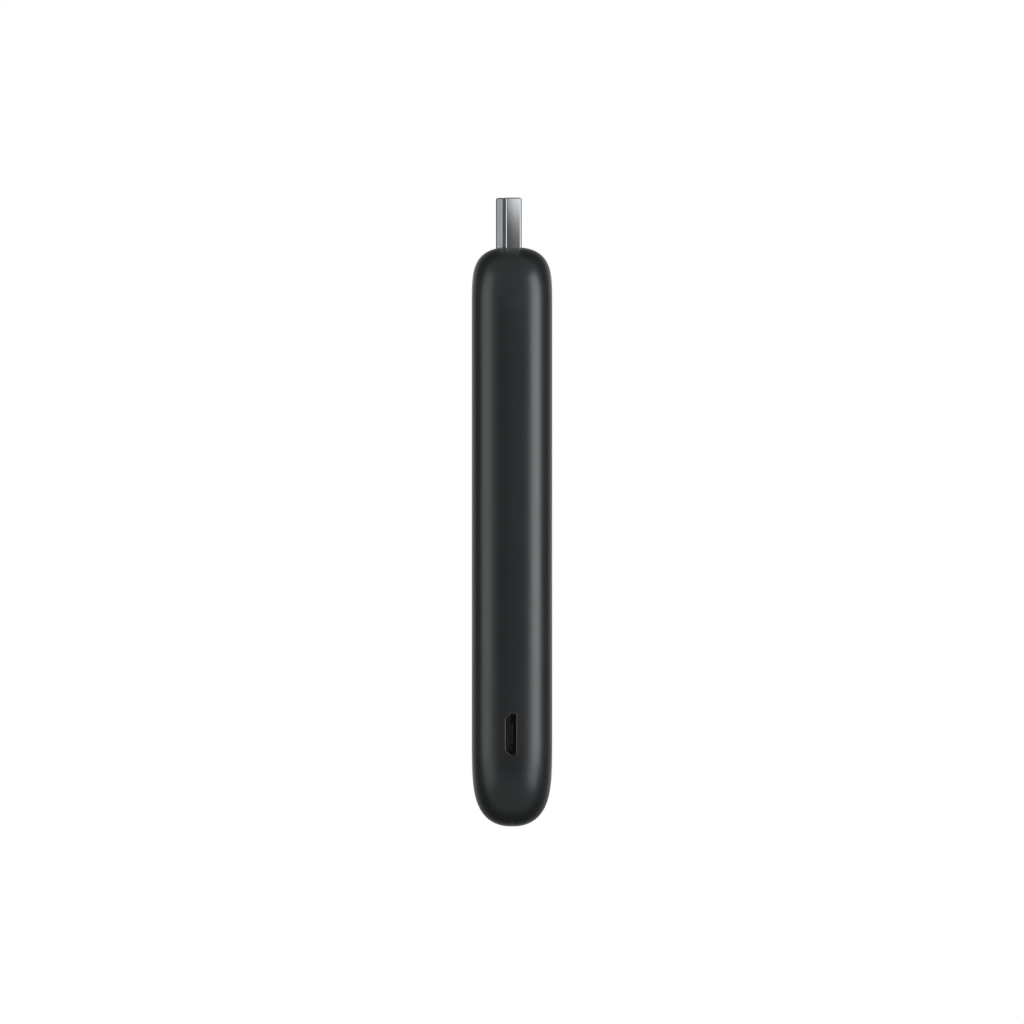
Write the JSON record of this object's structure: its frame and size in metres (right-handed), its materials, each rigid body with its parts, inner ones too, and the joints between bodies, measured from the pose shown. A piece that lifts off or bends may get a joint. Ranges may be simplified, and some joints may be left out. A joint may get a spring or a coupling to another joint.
{
  "type": "streaming stick",
  "caption": "Rounded black streaming stick with its own HDMI plug at one end and a micro-USB power port in one side.",
  "frame": {"origin": "on the plug's axis, in the plane where the plug leaves the end of the housing", "axes": "+Z along the stick and out through the plug, -Y the front face, +X the side with the power port"},
  "size_m": [0.03, 0.0137, 0.1079],
  "materials": {
    "housing_plastic": "fine moulded grain, matte black",
    "plug_plate": "bright nickel plate over drawn steel",
    "port_plate": "nickel plate over drawn steel",
    "insulator_black": "glass-filled moulded plastic",
    "contact_gold": "gold flash over nickel",
    "board_mask": "green solder mask",
    "chip_black": "moulded chip body",
    "crystal_can": "seam-welded lid",
    "inductor_grey": "pressed iron powder",
    "ceramic_tan": "fired ceramic",
    "shield_plate": "tin-plated sheet",
    "pad_blue": "soft silicone",
    "spreader_metal": "rolled sheet",
    "tape_grey": "adhesive tape",
    "aerial_metal": "gold flash over bronze"
  },
  "bodies": {
    "root": {"front_housing": "housing_plastic", "rear_housing": "housing_plastic", "hdmi_shell": "plug_plate", "hdmi_insulator": "insulator_black", "hdmi_wide_contacts": "contact_gold", "hdmi_narrow_contacts": "contact_gold", "usb_shell": "port_plate", "usb_insulator": "insulator_black", "usb_contacts": "contact_gold", "main_board": "board_mask", "processor": "chip_black", "memory_chip": "chip_black", "flash_chip": "chip_black", "power_chip": "chip_black", "wireless_chip": "chip_black", "clock_crystals": "crystal_can", "power_inductors": "inductor_grey", "capacitors": "ceramic_tan", "resistors": "chip_black", "surge_arrays": "chip_black", "front_shield_frame": "shield_plate", "front_shield_lid": "shield_plate", "rear_shield_frame": "shield_plate", "rear_shield_lid": "shield_plate", "processor_pad": "pad_blue", "memory_pad": "pad_blue", "front_thermal_pad": "pad_blue", "rear_thermal_pad": "pad_blue", "front_heat_spreader": "spreader_metal", "rear_heat_spreader": "spreader_metal", "front_spreader_tape": "tape_grey", "rear_spreader_tape": "tape_grey", "aerial_carrier": "insulator_black", "left_aerial": "aerial_metal", "right_aerial": "aerial_metal", "aerial_clips": "contact_gold"}
  },
  "joints": []
}
